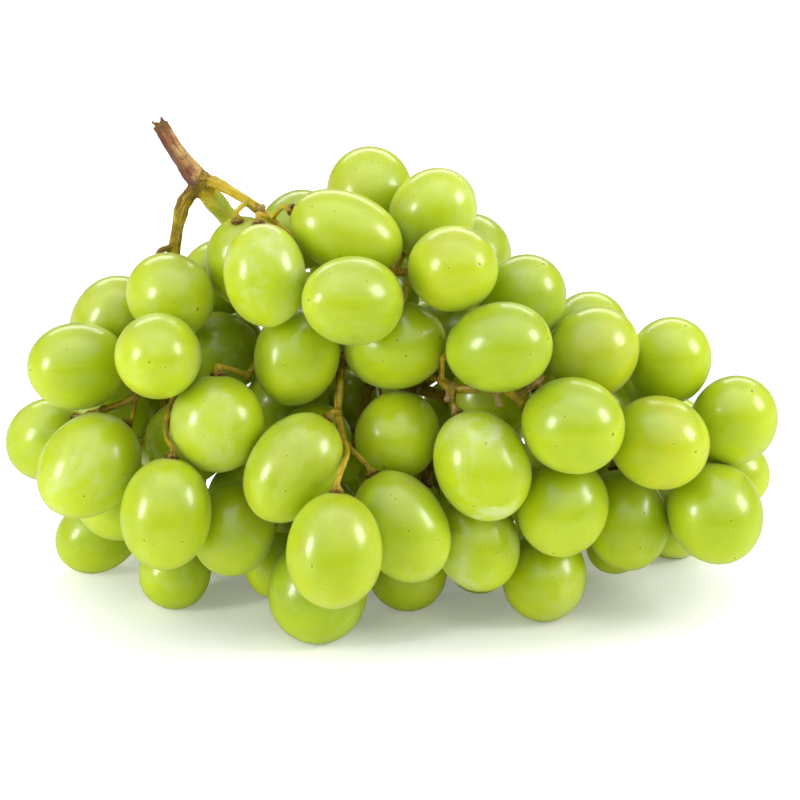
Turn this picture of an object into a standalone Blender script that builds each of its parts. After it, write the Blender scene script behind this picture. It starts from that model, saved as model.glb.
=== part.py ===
"""A bunch of white table grapes lying on its side: one branching stem and the berries on it.

Every berry is an ellipsoid of revolution whose long axis points at its pedicel. The berries are
listed by the part of the bunch that they grow in, then settled until none of them touch, and
each is tied to the nearest shoot by a pedicel that keeps clear of its neighbours.
"""

import math
from dataclasses import dataclass

import bmesh
import bpy
import numpy as np
from mathutils import Matrix, Vector

# Driving dimensions. Lengths are metres, and the lists further down are millimetres.
MM = 0.001
BERRY_SCALE = 1.0           # 1.0 gives berries of about 22 mm across and 25 mm long
BERRY_GAP = 0.6 * MM        # between neighbouring berries, before facets
STEM_GAP = 0.6 * MM         # between a berry and a shoot that passes it
PEDICEL_GAP = 0.35 * MM     # between a berry's stem end and its pedicel
FLOOR_GAP = 0.6 * MM        # under a berry that hangs just above the table
CONTACT_FLAT = 0.5 * MM     # how far a resting berry is pressed flat
PEDICEL_RADIUS = 0.8 * MM
RECEPTACLE_RADIUS = 1.7 * MM
RECEPTACLE_DEPTH = 1.2 * MM
BERRY_SEGMENTS = 12
BERRY_RINGS = 8
TUBE_SIDES = 4              # bevel resolution of the shoots
STEM_VOXEL = 0.45 * MM
STEM_FACES = 3800
SETTLE_STEPS = 500
SETTLED = 0.01 * MM         # largest push that still counts as settled
PAIR_RANGE = 32 * MM        # berries further apart than this never meet
SHOOT_RANGE = 20 * MM       # nor does a berry this far from a shoot
KNEE_REACH = 7 * MM         # how far a pedicel runs straight out of its berry, at most
COLLAR_REACH = 2.2 * MM     # where the pedicel starts to flare into its receptacle
CLEARING_PASSES = 60

BUNCH = "bunch_of_grapes"
DOWN = Vector((0.0, 0.0, -1.0))

# Shoots: points along each one, in millimetres, and its radius at the first and last point.
SHOOTS = {
    "peduncle": ([(-59, 4, 116.5), (-56.5, 3.5, 112), (-53, 2.5, 107), (-49.5, 2, 102.5)], 1.7, 2.7),
    "rachis": ([(-50, 2, 103), (-46, 2, 97.5), (-42, 3, 92), (-35, 4, 81), (-28, 3, 71), (-18, 1, 61),
                (0, -4, 52), (25, -6, 45), (50, -9, 39), (67, -12, 36)], 2.3, 0.9),
    "upper_arm": ([(-50, 2, 101.5), (-47, 1, 103), (-43, -2, 102), (-37, -6, 99.5), (-32, -10, 96.5),
                   (-27.5, -13.5, 93.5), (-20, -14, 88), (-8, -12, 84), (6, -10, 82), (20, -11, 76)], 1.6, 0.9),
    "left_arm": ([(-50, 2, 101), (-53, 0.5, 98), (-54.5, -1, 93.5), (-56, -2, 85), (-57, -4, 74),
                  (-58.5, -5, 63), (-59.5, -3, 52), (-59, -2, 42)], 1.7, 0.9),
    "centre_shoot": ([(-16, 1, 60), (-14, -12, 62), (-14.5, -22, 61.5), (-14.7, -27.5, 59.5),
                      (-15, -33, 55), (-14, -38.5, 49.5)], 1.4, 0.9),
    "right_shoot": ([(3, -4, 51), (7, -14, 56), (9, -25, 61), (13, -32, 60.5), (24, -34.5, 61),
                     (29, -35.5, 58.5)], 1.4, 1.0),
    "right_twig": ([(28, -35.3, 59), (35, -30.5, 63)], 1.0, 0.8),
    "lower_shoot": ([(2, -4, 51), (6, -16, 44), (8, -30, 38)], 1.2, 0.8),
    "inner_shoot": ([(-6, -3, 54), (-12, -16, 42), (-18, -28, 30)], 1.2, 0.8),
    "crown_shoot": ([(-24, 2.5, 67), (-31, -8, 64), (-35, -18, 62), (-37, -26, 61.5)], 1.2, 0.8),
    "left_twig": ([(-58.5, -5, 63), (-63, -20, 57), (-67, -25, 54.5), (-72.5, -25.5, 52.5)], 1.1, 0.8),
    "low_left_twig": ([(-58.5, -5, 63), (-55, -20, 59), (-55, -26.5, 56.5), (-56.4, -30, 52)], 1.1, 0.9),
    "front_right_shoot": ([(40, -8, 41), (44, -20, 44), (50, -27, 42)], 1.2, 0.8),
    "back_right_shoot": ([(30, -6, 44), (34, 3, 43), (40, 4, 36)], 1.2, 0.8),
    "back_shoot": ([(-8, -2, 56), (-6, 8, 48), (-4, 8, 36)], 1.2, 0.8),
    "back_left_shoot": ([(-28, 3, 71), (-36, 4, 58), (-44, 2, 44), (-48, -4, 32)], 1.3, 0.8),
}

# Broken pedicels that lost their berry: points in millimetres.
STUBS = [
    [(-56, -2, 86.5), (-59, -4, 86.5), (-61, -5.5, 83.5)],
    [(-35, -8, 98.3), (-33.5, -10, 99.5)],
    [(12, -31, 60.7), (11.5, -34, 58)],
    [(23, -34.5, 61), (24, -37, 57.5)],
]
STUB_RADIUS = 0.7 * MM

# Berries by place: centre x, y, z, width, length, and the way the stem end faces. None there
# means that it faces the nearest shoot.
BERRIES = {
    "top": [
        (-7, 5, 99, 21, 22, None),
        (8, -11, 96.5, 20.5, 23.5, (-0.5, 0.2, -0.8)),
        (-13.5, -21.5, 94.5, 19.5, 28, (-0.91, 0.14, 0.36)),
        (12.5, -28, 90.5, 20.5, 23, (-0.51, 0.79, -0.34)),
        (17, 2, 83.5, 20.5, 22, None),
        (30, -19.5, 78.5, 20.5, 22.5, (-0.4, 0.3, -0.85)),
        (-28, 8, 86.5, 19.5, 21, None),
        (-45, 10, 75, 19, 21, None),
    ],
    "shoulder": [
        (-31.5, -29, 88.5, 19.5, 24.5, (-0.12, 0.34, 0.93)),
        (-38, -9.5, 85.5, 19.5, 23, (-0.16, -0.18, 0.96)),
        (-10, -35.5, 83.5, 21, 25.5, (0.8, 0.6, -0.22)),
        (-55.5, -18, 78.5, 20.5, 23, (-0.6, 0.8, 0.03)),
        (-72, -3, 65, 20, 24, (0.6, -0.1, 0.8)),
        (-56, -36, 69, 20.5, 22.5, (0.1, 0.9, -0.2)),
        (-77.5, -20, 62, 21, 25, (0.85, 0.5, -0.1)),
    ],
    "left_side": [
        (-88, -9, 38.5, 20, 22, (0.7, -0.4, 0.6)),
        (-75.5, -33.5, 43, 23, 27.5, (0.63, 0.55, 0.55)),
        (-43, -38.5, 54, 22.5, 23, (0.0, 0.3, 0.95)),
        (-56, -49, 34.5, 21.5, 26.5, (0.1, 0.35, 0.93)),
        (-40.5, -37.5, 26, 20, 23, (0.3, 0.6, 0.75)),
    ],
    "centre": [
        (-24.5, -26, 66.5, 20.5, 24, (0.25, 0.5, 0.83)),
        (-1, -27.5, 67, 21.5, 25.5, (-0.85, 0.45, -0.3)),
        (-26.5, -47.5, 45, 21, 28, (0.57, 0.37, 0.74)),
        (-16, -60.5, 33.5, 22.5, 27, (0.04, 0.39, 0.92)),
        (-0.5, -47.5, 32, 21.5, 28, (-0.49, 0.30, 0.82)),
        (0.5, -30, 48.5, 20.5, 22.5, (0.3, 0.9, 0.4)),
    ],
    "right_side": [
        (23.5, -37.5, 73, 21.5, 26, (-0.88, 0.4, -0.3)),
        (47, -24.5, 67, 21.5, 22.5, (-0.6, -0.3, -0.6)),
        (47, -3, 64, 20, 21.5, None),
        (66.5, -15, 61.5, 20, 22, (-0.3, 0.3, -0.9)),
        (20, -37.5, 22, 20.5, 23, (-0.3, 0.4, 0.85)),
        (21.5, -43.5, 45, 22.5, 27, (-0.42, 0.40, 0.81)),
        (40, -43, 54.5, 23, 25.5, (-0.70, 0.71, -0.09)),
        (39, -38.5, 32, 22, 24, (0.2, 0.7, 0.7)),
        (56, -26, 24, 20.5, 25, (-0.2, 0.35, 0.92)),
        (63, -35, 47.5, 22.5, 25, (-0.6, 0.75, -0.1)),
        (77.5, -30, 28, 23, 25, (-0.3, 0.7, 0.6)),
        (82, -21, 47, 21, 23.5, (-0.3, 0.5, -0.8)),
        (83, -10, 30, 17.5, 19, (-0.8, 0.0, 0.3)),
    ],
    "back": [
        (-58, 12, 31, 20, 22, None),
        (-31, 21, 32, 21, 23, None),
        (-4, 26, 33, 21.5, 23, None),
        (22, 22, 33, 21, 23, None),
        (48, 14, 32, 20.5, 22, None),
        (-66, 8, 50, 20, 22, None),
        (-44, 14, 54, 20.5, 22.5, None),
        (-18, 20, 55, 21.5, 24, None),
        (8, 20, 55, 21, 23, None),
        (33, 12, 55, 20.5, 22.5, None),
        (60, 0, 46, 20, 22, None),
    ],
}

# Berries that carry the bunch. They lie on the table, so their height follows from their size.
RESTING_BERRIES = [
    (-20, -44, 24, 26, (0.1, 0.5, 0.85)),
    (-77, 0, 18.5, 22, (0.8, 0.2, 0.5)),
    (-56, -23, 17.5, 19, (0.2, 0.5, 0.8)),
    (2, -24, 19.5, 21, (0.1, 0.5, 0.85)),
    (34.5, -31, 20.5, 22.5, (0.1, 0.5, 0.85)),
    (70, 9, 20, 22, (-0.4, -0.6, 0.7)),
    (-38, 13, 20.5, 23, (0.0, -0.5, 0.85)),
    (-11, 19, 21, 23, (0.2, -0.5, 0.85)),
    (15, 18, 20.5, 22.5, (-0.2, -0.5, 0.85)),
]


@dataclass
class Berry:
    """One berry: an ellipsoid of revolution about its stem-end axis."""

    centre: Vector
    half_width: float
    half_length: float
    stem_end: Vector
    resting: bool = False

    def reach(self, direction):
        """Distance from the centre to the tangent plane that faces the unit direction."""
        along = direction.dot(self.stem_end)
        return math.sqrt(self.half_width ** 2 + (self.half_length ** 2 - self.half_width ** 2) * along ** 2)

    def pole(self):
        """The point where the pedicel meets the skin."""
        return self.centre + self.stem_end * self.half_length

    def depth_inside(self, point):
        """How deep a point lies under the skin, along the ray from the centre; negative outside."""
        offset = point - self.centre
        if offset.length == 0:
            return self.half_width
        along = offset.dot(self.stem_end)
        across = (offset - self.stem_end * along).length
        share = math.hypot(along / self.half_length, across / self.half_width)
        return offset.length / share - offset.length


def vector_mm(point):
    return Vector(point) * MM


def nearest_on_path(path, point):
    """The point of a polyline nearest to a given one."""
    spots = []
    for start, end in zip(path, path[1:]):
        run = end - start
        share = min(1.0, max(0.0, (point - start).dot(run) / run.length_squared))
        spots.append(start + run * share)
    return min(spots, key=lambda spot: (spot - point).length)


def smooth_path(points, per_span=3):
    """A Catmull-Rom curve through the given points."""
    ends = [points[0] * 2 - points[1], *points, points[-1] * 2 - points[-2]]
    curve = []
    for before, start, end, after in zip(ends, ends[1:], ends[2:], ends[3:]):
        for step in range(per_span):
            t = step / per_span
            curve.append(0.5 * (2 * start + (end - before) * t
                                + (2 * before - 5 * start + 4 * end - after) * t ** 2
                                + (3 * start - before - 3 * end + after) * t ** 3))
    return curve + [points[-1]]


def shoot_paths():
    """Each shoot's smooth path with the radius at its first and last point, in metres."""
    return {name: (smooth_path([vector_mm(p) for p in points]), first * MM, last * MM)
            for name, (points, first, last) in SHOOTS.items()}


def nearest_shoot_point(paths, point):
    """The nearest place that a pedicel can leave from; none leaves the bare peduncle."""
    spots = [nearest_on_path(path, point) for name, (path, _, _) in paths.items() if name != "peduncle"]
    return min(spots, key=lambda spot: (spot - point).length)


def listed_berries(paths):
    """Every berry at the place where it grew, before the bunch settles."""
    berries = []
    for rows in BERRIES.values():
        for x, y, z, width, length, facing in rows:
            centre = vector_mm((x, y, z))
            facing = Vector(facing) if facing else nearest_shoot_point(paths, centre) - centre
            berries.append(Berry(centre, width / 2 * MM * BERRY_SCALE, length / 2 * MM * BERRY_SCALE,
                                 facing.normalized()))
    for x, y, width, length, facing in RESTING_BERRIES:
        berry = Berry(vector_mm((x, y, 0)), width / 2 * MM * BERRY_SCALE, length / 2 * MM * BERRY_SCALE,
                      Vector(facing).normalized(), resting=True)
        berry.centre.z = berry.reach(DOWN) - CONTACT_FLAT
        berries.append(berry)
    return berries


def settle(berries, paths):
    """Moves the berries apart until none meets another, a shoot or the table."""
    segments = [(start, end, (first + last) / 2)
                for path, first, last in paths.values() for start, end in zip(path, path[1:])]
    for _ in range(SETTLE_STEPS):
        moved = separate_pairs(berries)
        moved = max(moved, clear_shoots(berries, segments))
        for berry in berries:
            lowest = berry.reach(DOWN) + FLOOR_GAP
            if berry.resting:
                berry.centre.z = berry.reach(DOWN) - CONTACT_FLAT
            elif berry.centre.z < lowest:
                berry.centre.z = lowest
        if moved < SETTLED:
            break


def separate_pairs(berries):
    """Pushes each overlapping pair apart along the line of centres; returns the largest push."""
    largest = 0.0
    for index, first in enumerate(berries):
        for second in berries[index + 1:]:
            offset = second.centre - first.centre
            if offset.length > PAIR_RANGE:
                continue
            away = offset.normalized()
            overlap = first.reach(away) + second.reach(away) + BERRY_GAP - offset.length
            if overlap > 0:
                first.centre -= away * overlap / 2
                second.centre += away * overlap / 2
                largest = max(largest, overlap)
    return largest


def clear_shoots(berries, segments):
    """Pushes berries off the shoots that they lie against; returns the largest push."""
    largest = 0.0
    for berry in berries:
        for start, end, radius in segments:
            offset = berry.centre - nearest_on_path([start, end], berry.centre)
            if offset.length > SHOOT_RANGE:
                continue
            away = offset.normalized()
            overlap = berry.reach(away) + radius + STEM_GAP - offset.length
            if overlap > 0:
                berry.centre += away * overlap
                largest = max(largest, overlap)
    return largest


def pedicel_path(berry, berries, paths):
    """From the nearest shoot to the berry's stem end, bent clear of every berry."""
    pole = berry.pole()
    start = nearest_shoot_point(paths, pole + berry.stem_end * KNEE_REACH)
    knee = pole + berry.stem_end * min((start - pole).length * 0.45, KNEE_REACH)
    path = [start, start.lerp(knee, 0.25), start.lerp(knee, 0.5), start.lerp(knee, 0.75), knee,
            pole + berry.stem_end * COLLAR_REACH, pole - berry.stem_end * RECEPTACLE_DEPTH]
    reach = PEDICEL_RADIUS + STEM_GAP
    for _ in range(CLEARING_PASSES):
        for spot in path[1:-2]:
            for other in berries:
                depth = other.depth_inside(spot) + reach
                if depth > 0:
                    spot += (spot - other.centre).normalized() * depth
    for index in range(1, len(path) - 2):
        blend = (path[index - 1] + path[index + 1]) / 2
        if all(other.depth_inside(blend) + reach < 0 for other in berries):
            path[index] = blend
    return path


def new_collection(name):
    collection = bpy.data.collections.new(name)
    bpy.context.scene.collection.children.link(collection)
    return collection


def new_material(name, colour, roughness):
    material = bpy.data.materials.new(name)
    material.use_nodes = True
    shader = material.node_tree.nodes["Principled BSDF"]
    shader.inputs["Base Color"].default_value = (*colour, 1.0)
    shader.inputs["Roughness"].default_value = roughness
    shader.inputs["Metallic"].default_value = 0.0
    return material


def add_object(name, mesh, collection, material=None):
    if material:
        mesh.materials.append(material)
    mesh.shade_smooth()
    obj = bpy.data.objects.new(name, mesh)
    collection.objects.link(obj)
    return obj


def berry_mesh(name, berry, swell=0.0):
    """A closed berry, cut flat where it presses on the table; swell makes it larger all round."""
    width, length = berry.half_width + swell, berry.half_length + swell
    turn = berry.stem_end.to_track_quat("Z", "Y").to_matrix().to_4x4()
    place = Matrix.Translation(berry.centre) @ turn @ Matrix.Diagonal((width, width, length, 1.0))
    shape = bmesh.new()
    bmesh.ops.create_uvsphere(shape, u_segments=BERRY_SEGMENTS, v_segments=BERRY_RINGS, radius=1.0, matrix=place)
    if berry.resting and not swell:
        cut = bmesh.ops.bisect_plane(shape, geom=shape.verts[:] + shape.edges[:] + shape.faces[:],
                                     plane_co=(0, 0, 0), plane_no=(0, 0, -1), clear_outer=True, dist=1e-7)
        rim = [item for item in cut["geom_cut"] if isinstance(item, bmesh.types.BMEdge)]
        bmesh.ops.contextual_create(shape, geom=rim)
    bmesh.ops.recalc_face_normals(shape, faces=shape.faces[:])
    mesh = bpy.data.meshes.new(name)
    shape.to_mesh(mesh)
    shape.free()
    return mesh


def add_tube(curve, path, radii):
    """One tapered run of stem, as a poly spline with a radius at each point."""
    spline = curve.splines.new("POLY")
    spline.points.add(len(path) - 1)
    for point, place, radius in zip(spline.points, path, radii):
        point.co = (*place, 1.0)
        point.radius = radius / MM


def stem_curve(berries, paths):
    """Peduncle, rachis, shoots and pedicels as tubes that run into each other."""
    curve = bpy.data.curves.new("stem_runs", "CURVE")
    curve.dimensions = "3D"
    curve.bevel_depth = 1.0 * MM
    curve.bevel_resolution = TUBE_SIDES
    curve.use_fill_caps = True
    for path, first, last in paths.values():
        steps = len(path) - 1
        add_tube(curve, path, [first + (last - first) * i / steps for i in range(steps + 1)])
    for points in STUBS:
        path = [vector_mm(p) for p in points]
        add_tube(curve, path, [STUB_RADIUS] * len(path))
    for berry in berries:
        path = pedicel_path(berry, berries, paths)
        radii = [PEDICEL_RADIUS] * (len(path) - 2)
        radii[0] *= 1.3
        add_tube(curve, path, radii + [PEDICEL_RADIUS * 1.2, RECEPTACLE_RADIUS])
    return curve


def mesh_of(obj):
    """The object's evaluated mesh with loose caps welded, as a new mesh."""
    graph = bpy.context.evaluated_depsgraph_get()
    mesh = bpy.data.meshes.new_from_object(obj.evaluated_get(graph))
    shape = bmesh.new()
    shape.from_mesh(mesh)
    bmesh.ops.remove_doubles(shape, verts=shape.verts[:], dist=1e-6)
    shape.to_mesh(mesh)
    shape.free()
    return mesh


def keep_largest_body(mesh):
    """Drops any crumb that a cut has parted from the stem."""
    shape = bmesh.new()
    shape.from_mesh(mesh)
    left = set(shape.verts)
    bodies = []
    while left:
        body, front = [], [left.pop()]
        while front:
            vert = front.pop()
            body.append(vert)
            reached = {edge.other_vert(vert) for edge in vert.link_edges} & left
            left -= reached
            front.extend(reached)
        bodies.append(body)
    bodies.sort(key=len)
    for body in bodies[:-1]:
        bmesh.ops.delete(shape, geom=body, context="VERTS")
    shape.to_mesh(mesh)
    shape.free()


def build_stem(berries, paths, collection, cutters, material):
    """One grown piece: the runs fused, thinned to few faces and trimmed clear of every berry."""
    runs = bpy.data.objects.new("stem_runs", stem_curve(berries, paths))
    cutters.objects.link(runs)
    stem = add_object("stem", mesh_of(runs), collection)
    bpy.data.objects.remove(runs)

    fuse = stem.modifiers.new("fuse", "REMESH")
    fuse.mode = "VOXEL"
    fuse.voxel_size = STEM_VOXEL
    fused = mesh_of(stem)
    thin = stem.modifiers.new("thin", "DECIMATE")
    thin.ratio = STEM_FACES / (2 * len(fused.polygons))
    thin.use_collapse_triangulate = True
    trim = stem.modifiers.new("trim", "BOOLEAN")
    trim.operation = "DIFFERENCE"
    trim.solver = "EXACT"
    trim.operand_type = "COLLECTION"
    trim.collection = cutters
    trimmed = mesh_of(stem)
    stem.modifiers.clear()
    stem.data = trimmed
    keep_largest_body(trimmed)
    trimmed.materials.clear()
    trimmed.materials.append(material)
    trimmed.shade_smooth()
    return stem


def shift_to_origin(objects):
    """Puts the middle of the bunch's footprint at the origin, standing on the table."""
    points = np.array([tuple(vert.co) for obj in objects for vert in obj.data.vertices])
    low, high = points.min(axis=0), points.max(axis=0)
    shift = Vector((-(low[0] + high[0]) / 2, -(low[1] + high[1]) / 2, -low[2]))
    for obj in objects:
        obj.location = shift


def main():
    for obj in list(bpy.data.objects):
        bpy.data.objects.remove(obj)
    bunch = new_collection(BUNCH)
    cutters = new_collection("cutters")
    skin = new_material("grape_skin", (0.52, 0.66, 0.09), 0.32)
    bark = new_material("stem_bark", (0.36, 0.24, 0.09), 0.7)

    paths = shoot_paths()
    berries = listed_berries(paths)
    settle(berries, paths)
    objects = []
    for number, berry in enumerate(berries, start=1):
        name = f"berry_{number:02d}"
        objects.append(add_object(name, berry_mesh(name, berry), bunch, skin))
        cutter = add_object(f"{name}_clearance", berry_mesh(f"{name}_clearance", berry, PEDICEL_GAP), cutters)
        cutter.hide_render = True
        cutter.display_type = "WIRE"
    objects.append(build_stem(berries, paths, bunch, cutters, bark))
    cutters.hide_render = True
    shift_to_origin(objects)


main()
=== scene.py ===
"""A bunch of white table grapes lying on its side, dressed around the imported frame.

The berries take their place, size and stem end from their CAD nodes. The stem follows the same
shoots and the same pedicel rule as the part, with finer joints, crowns and bark. Smaller
berries fill the heart of the bunch and the gaps at its back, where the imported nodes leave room.
"""

import sys

import logging
import math
from collections.abc import Callable, Sequence
from dataclasses import dataclass, field
from enum import Enum
from itertools import accumulate
from typing import Union

import bmesh
import bpy
import numpy as np
from bpy.types import ID, Material, Mesh, Node, NodeSocket, NodeTree, Object
from mathutils import Matrix, Vector
from mathutils.kdtree import KDTree

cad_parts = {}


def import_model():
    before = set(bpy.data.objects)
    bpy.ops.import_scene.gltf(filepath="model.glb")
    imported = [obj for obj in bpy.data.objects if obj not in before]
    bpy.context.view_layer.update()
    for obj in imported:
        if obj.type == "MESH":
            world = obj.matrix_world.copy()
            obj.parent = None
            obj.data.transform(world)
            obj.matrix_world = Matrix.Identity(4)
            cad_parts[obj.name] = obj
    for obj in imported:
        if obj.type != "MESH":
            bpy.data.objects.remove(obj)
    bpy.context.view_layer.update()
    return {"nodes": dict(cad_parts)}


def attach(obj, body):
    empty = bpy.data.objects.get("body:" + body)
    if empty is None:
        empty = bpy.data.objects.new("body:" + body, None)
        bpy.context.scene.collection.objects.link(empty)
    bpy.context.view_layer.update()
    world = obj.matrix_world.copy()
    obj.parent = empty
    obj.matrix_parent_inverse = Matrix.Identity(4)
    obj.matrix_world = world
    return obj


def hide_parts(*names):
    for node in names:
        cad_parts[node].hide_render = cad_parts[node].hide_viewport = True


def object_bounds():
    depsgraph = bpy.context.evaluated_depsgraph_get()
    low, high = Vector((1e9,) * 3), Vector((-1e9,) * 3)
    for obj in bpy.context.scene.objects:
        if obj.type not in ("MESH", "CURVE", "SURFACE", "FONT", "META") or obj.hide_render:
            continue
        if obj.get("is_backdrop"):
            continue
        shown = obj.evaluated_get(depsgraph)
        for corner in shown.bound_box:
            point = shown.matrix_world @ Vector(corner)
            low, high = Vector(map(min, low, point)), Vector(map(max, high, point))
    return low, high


LOG = logging.getLogger("grapes")

Colour = tuple[float, float, float]
Place = tuple[float, float, float]
Span = tuple[float, float]

MM = 0.001
ROOT_BODY = "root"
BUNCH_SHIFT = Vector((2.8, 19.3, 0.0)) * MM     # from the shoots' own origin to the frame's
SEED = 41
TRAIT_SPREAD = 37.0             # how far one berry's patterns lie from another's

SKIN_PLACE = "skin_place"       # direction from a berry's middle, with +Z at its stem end
BERRY_TRAIT = "berry_trait"     # ripeness, bloom and blush of one berry
BARK_GRAIN = "bark_grain"       # round and along a run of stem
BARK_TONE = "bark_tone"         # greenness, darkness of a crown and rawness of a cut


class MaterialSlot(Enum):
    """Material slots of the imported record."""

    SKIN = "grape_skin"
    BARK = "stem_bark"


class Tone(Enum):
    """How green a run of stem still is, from dry brown to fresh green."""

    RUSSET = 0.0
    FAWN = 0.11
    BROWN = 0.24
    TAN = 0.42
    OLIVE = 0.70
    GREEN = 1.0


# Shoots as in the part: points in millimetres, first and last radius, first and last tone.
Shoot = tuple[list[Place], float, float, Tone, Tone]
SHOOTS: dict[str, Shoot] = {
    "peduncle": ([(-59, 4, 116.5), (-56.5, 3.5, 112), (-53, 2.5, 107), (-49.5, 2, 102.5)],
                 1.75, 2.7, Tone.RUSSET, Tone.FAWN),
    "rachis": ([(-50, 2, 103), (-46, 2, 97.5), (-42, 3, 92), (-35, 4, 81), (-28, 3, 71), (-18, 1, 61),
                (0, -4, 52), (25, -6, 45), (50, -9, 39), (67, -12, 36)],
               2.5, 0.9, Tone.GREEN, Tone.TAN),
    "upper_arm": ([(-50, 2, 101.5), (-47, 1, 103), (-43, -2, 102), (-37, -6, 99.5), (-32, -10, 96.5),
                   (-27.5, -13.5, 93.5), (-20, -14, 88), (-8, -12, 84), (6, -10, 82), (20, -11, 76)],
                  1.3, 0.85, Tone.OLIVE, Tone.OLIVE),
    "left_arm": ([(-50, 2, 101), (-53, 0.5, 98), (-54.5, -1, 93.5), (-56, -2, 85), (-57, -4, 74),
                  (-58.5, -5, 63), (-59.5, -3, 52), (-59, -2, 42)], 1.7, 0.95, Tone.BROWN, Tone.OLIVE),
    "centre_shoot": ([(-16, 1, 60), (-14, -12, 62), (-14.5, -22, 61.5), (-14.7, -27.5, 59.5),
                      (-15, -33, 55), (-14, -38.5, 49.5)], 1.4, 0.9, Tone.TAN, Tone.TAN),
    "right_shoot": ([(3, -4, 51), (7, -14, 56), (9, -25, 61), (13, -32, 60.5), (24, -34.5, 61),
                     (29, -35.5, 58.5)], 1.4, 1.0, Tone.TAN, Tone.BROWN),
    "right_twig": ([(28, -35.3, 59), (35, -30.5, 63)], 1.0, 0.8, Tone.BROWN, Tone.BROWN),
    "lower_shoot": ([(2, -4, 51), (6, -16, 44), (8, -30, 38)], 1.2, 0.8, Tone.TAN, Tone.BROWN),
    "inner_shoot": ([(-6, -3, 54), (-12, -16, 42), (-18, -28, 30)], 1.2, 0.8, Tone.TAN, Tone.TAN),
    "crown_shoot": ([(-24, 2.5, 67), (-31, -8, 64), (-35, -18, 62), (-37, -26, 61.5)],
                    1.2, 0.8, Tone.TAN, Tone.OLIVE),
    "left_twig": ([(-58.5, -5, 63), (-63, -20, 57), (-67, -25, 54.5), (-72.5, -25.5, 52.5)],
                  1.1, 0.8, Tone.TAN, Tone.BROWN),
    "low_left_twig": ([(-58.5, -5, 63), (-55, -20, 59), (-55, -26.5, 56.5), (-56.4, -30, 52)],
                      1.1, 0.9, Tone.TAN, Tone.BROWN),
    "front_right_shoot": ([(40, -8, 41), (44, -20, 44), (50, -27, 42)],
                          1.2, 0.8, Tone.TAN, Tone.BROWN),
    "back_right_shoot": ([(30, -6, 44), (34, 3, 43), (40, 4, 36)], 1.2, 0.8, Tone.TAN, Tone.TAN),
    "back_shoot": ([(-8, -2, 56), (-6, 8, 48), (-4, 8, 36)], 1.2, 0.8, Tone.TAN, Tone.TAN),
    "back_left_shoot": ([(-28, 3, 71), (-36, 4, 58), (-44, 2, 44), (-48, -4, 32)],
                        1.3, 0.8, Tone.OLIVE, Tone.TAN),
}

# Broken pedicels that lost their berry, in millimetres.
STUBS: list[list[Place]] = [
    [(-56, -2, 86.5), (-59, -4, 86.5), (-61, -5.5, 83.5)],
    [(-35, -8, 98.3), (-33.5, -10, 99.5)],
    [(12, -31, 60.7), (11.5, -34, 58)],
    [(23, -34.5, 61), (24, -37, 57.5)],
]

# The crown of a pedicel: offset from the pole and radius in millimetres, and how dark it is.
CROWN: tuple[Place, ...] = (
    (2.1, 0.72, 0.10), (1.6, 0.90, 0.40), (1.15, 1.25, 0.85), (0.8, 1.58, 1.0),
    (0.4, 1.74, 1.0), (0.05, 1.76, 1.0), (-0.4, 1.5, 1.0), (-1.0, 1.0, 1.0),
)

# Torn fibres at the cut end: turn about the peduncle, length in millimetres and outward lean.
FIBRES: tuple[Place, ...] = (
    (0.2, 2.6, 0.5), (1.6, 1.5, 0.3), (2.9, 2.9, 0.55), (4.1, 1.3, 0.2), (5.2, 1.9, 0.4),
)
FIBRE_RING = 1.15               # how far from the peduncle's middle they stand, in millimetres

# Ripeness, bloom and blush of the berries that stand out. Some are set lighter or darker than the rest
# partly as painted light, standing in for the light and shade that each berry has in view.
BERRY_TRAITS_AND_PAINTED_LIGHT: dict[str, Place] = {
    "berry_02": (1.0, 1.30, 0.0), "berry_03": (1.0, 0.20, 0.1), "berry_04": (0.7, 0.20, 0.2),
    "berry_09": (1.0, 1.50, 0.0), "berry_15": (0.6, 0.20, 0.1), "berry_17": (1.0, 1.30, 0.0),
    "berry_18": (0.8, 0.85, 0.0), "berry_24": (0.5, 0.35, 0.2), "berry_26": (1.0, 0.40, 0.0),
    "berry_27": (0.2, 0.20, 0.0), "berry_30": (1.0, 0.10, 0.0), "berry_31": (1.0, 1.60, 0.0),
    "berry_32": (0.9, 1.90, 0.0), "berry_33": (0.5, 0.20, 0.0), "berry_36": (0.7, 0.10, 0.4),
    "berry_37": (0.6, 0.15, 0.0), "berry_51": (0.0, 0.30, 0.0),
}


@dataclass(frozen=True)
class Berry:
    """Place, size and stem end of one berry, in metres."""

    name: str
    centre: Vector
    stem_end: Vector
    half_width: float
    half_length: float
    node: str | None = None

    def pole(self) -> Vector:
        """The point where the pedicel meets the skin."""
        return self.centre + self.stem_end * self.half_length

    def depth_inside(self, point: Vector) -> float:
        """How deep a point lies under the skin along the ray from the centre.

        Args:
            point: A place in the frame, in metres.

        Returns:
            Metres under the skin, negative outside it.
        """
        offset = point - self.centre
        if offset.length == 0:
            return self.half_width
        along = offset.dot(self.stem_end)
        across = (offset - self.stem_end * along).length
        share = math.hypot(along / self.half_length, across / self.half_width)
        return offset.length / share - offset.length


def deselect_all() -> None:
    """Leaves nothing selected, so that the next operator acts on its own piece."""
    bpy.ops.object.select_all(action="DESELECT")


def make_active(piece: Object) -> None:
    """Selects one piece alone and makes it active."""
    deselect_all()
    piece.select_set(True)
    bpy.context.view_layer.objects.active = piece


def link_object(name: str, data: ID) -> Object:
    """Makes an object.

    Args:
        name: The object's name.
        data: The mesh, curve, light or camera that it shows.

    Returns:
        The object, linked to the scene.
    """
    piece = bpy.data.objects.new(name, data)
    bpy.context.scene.collection.objects.link(piece)
    return piece


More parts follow.
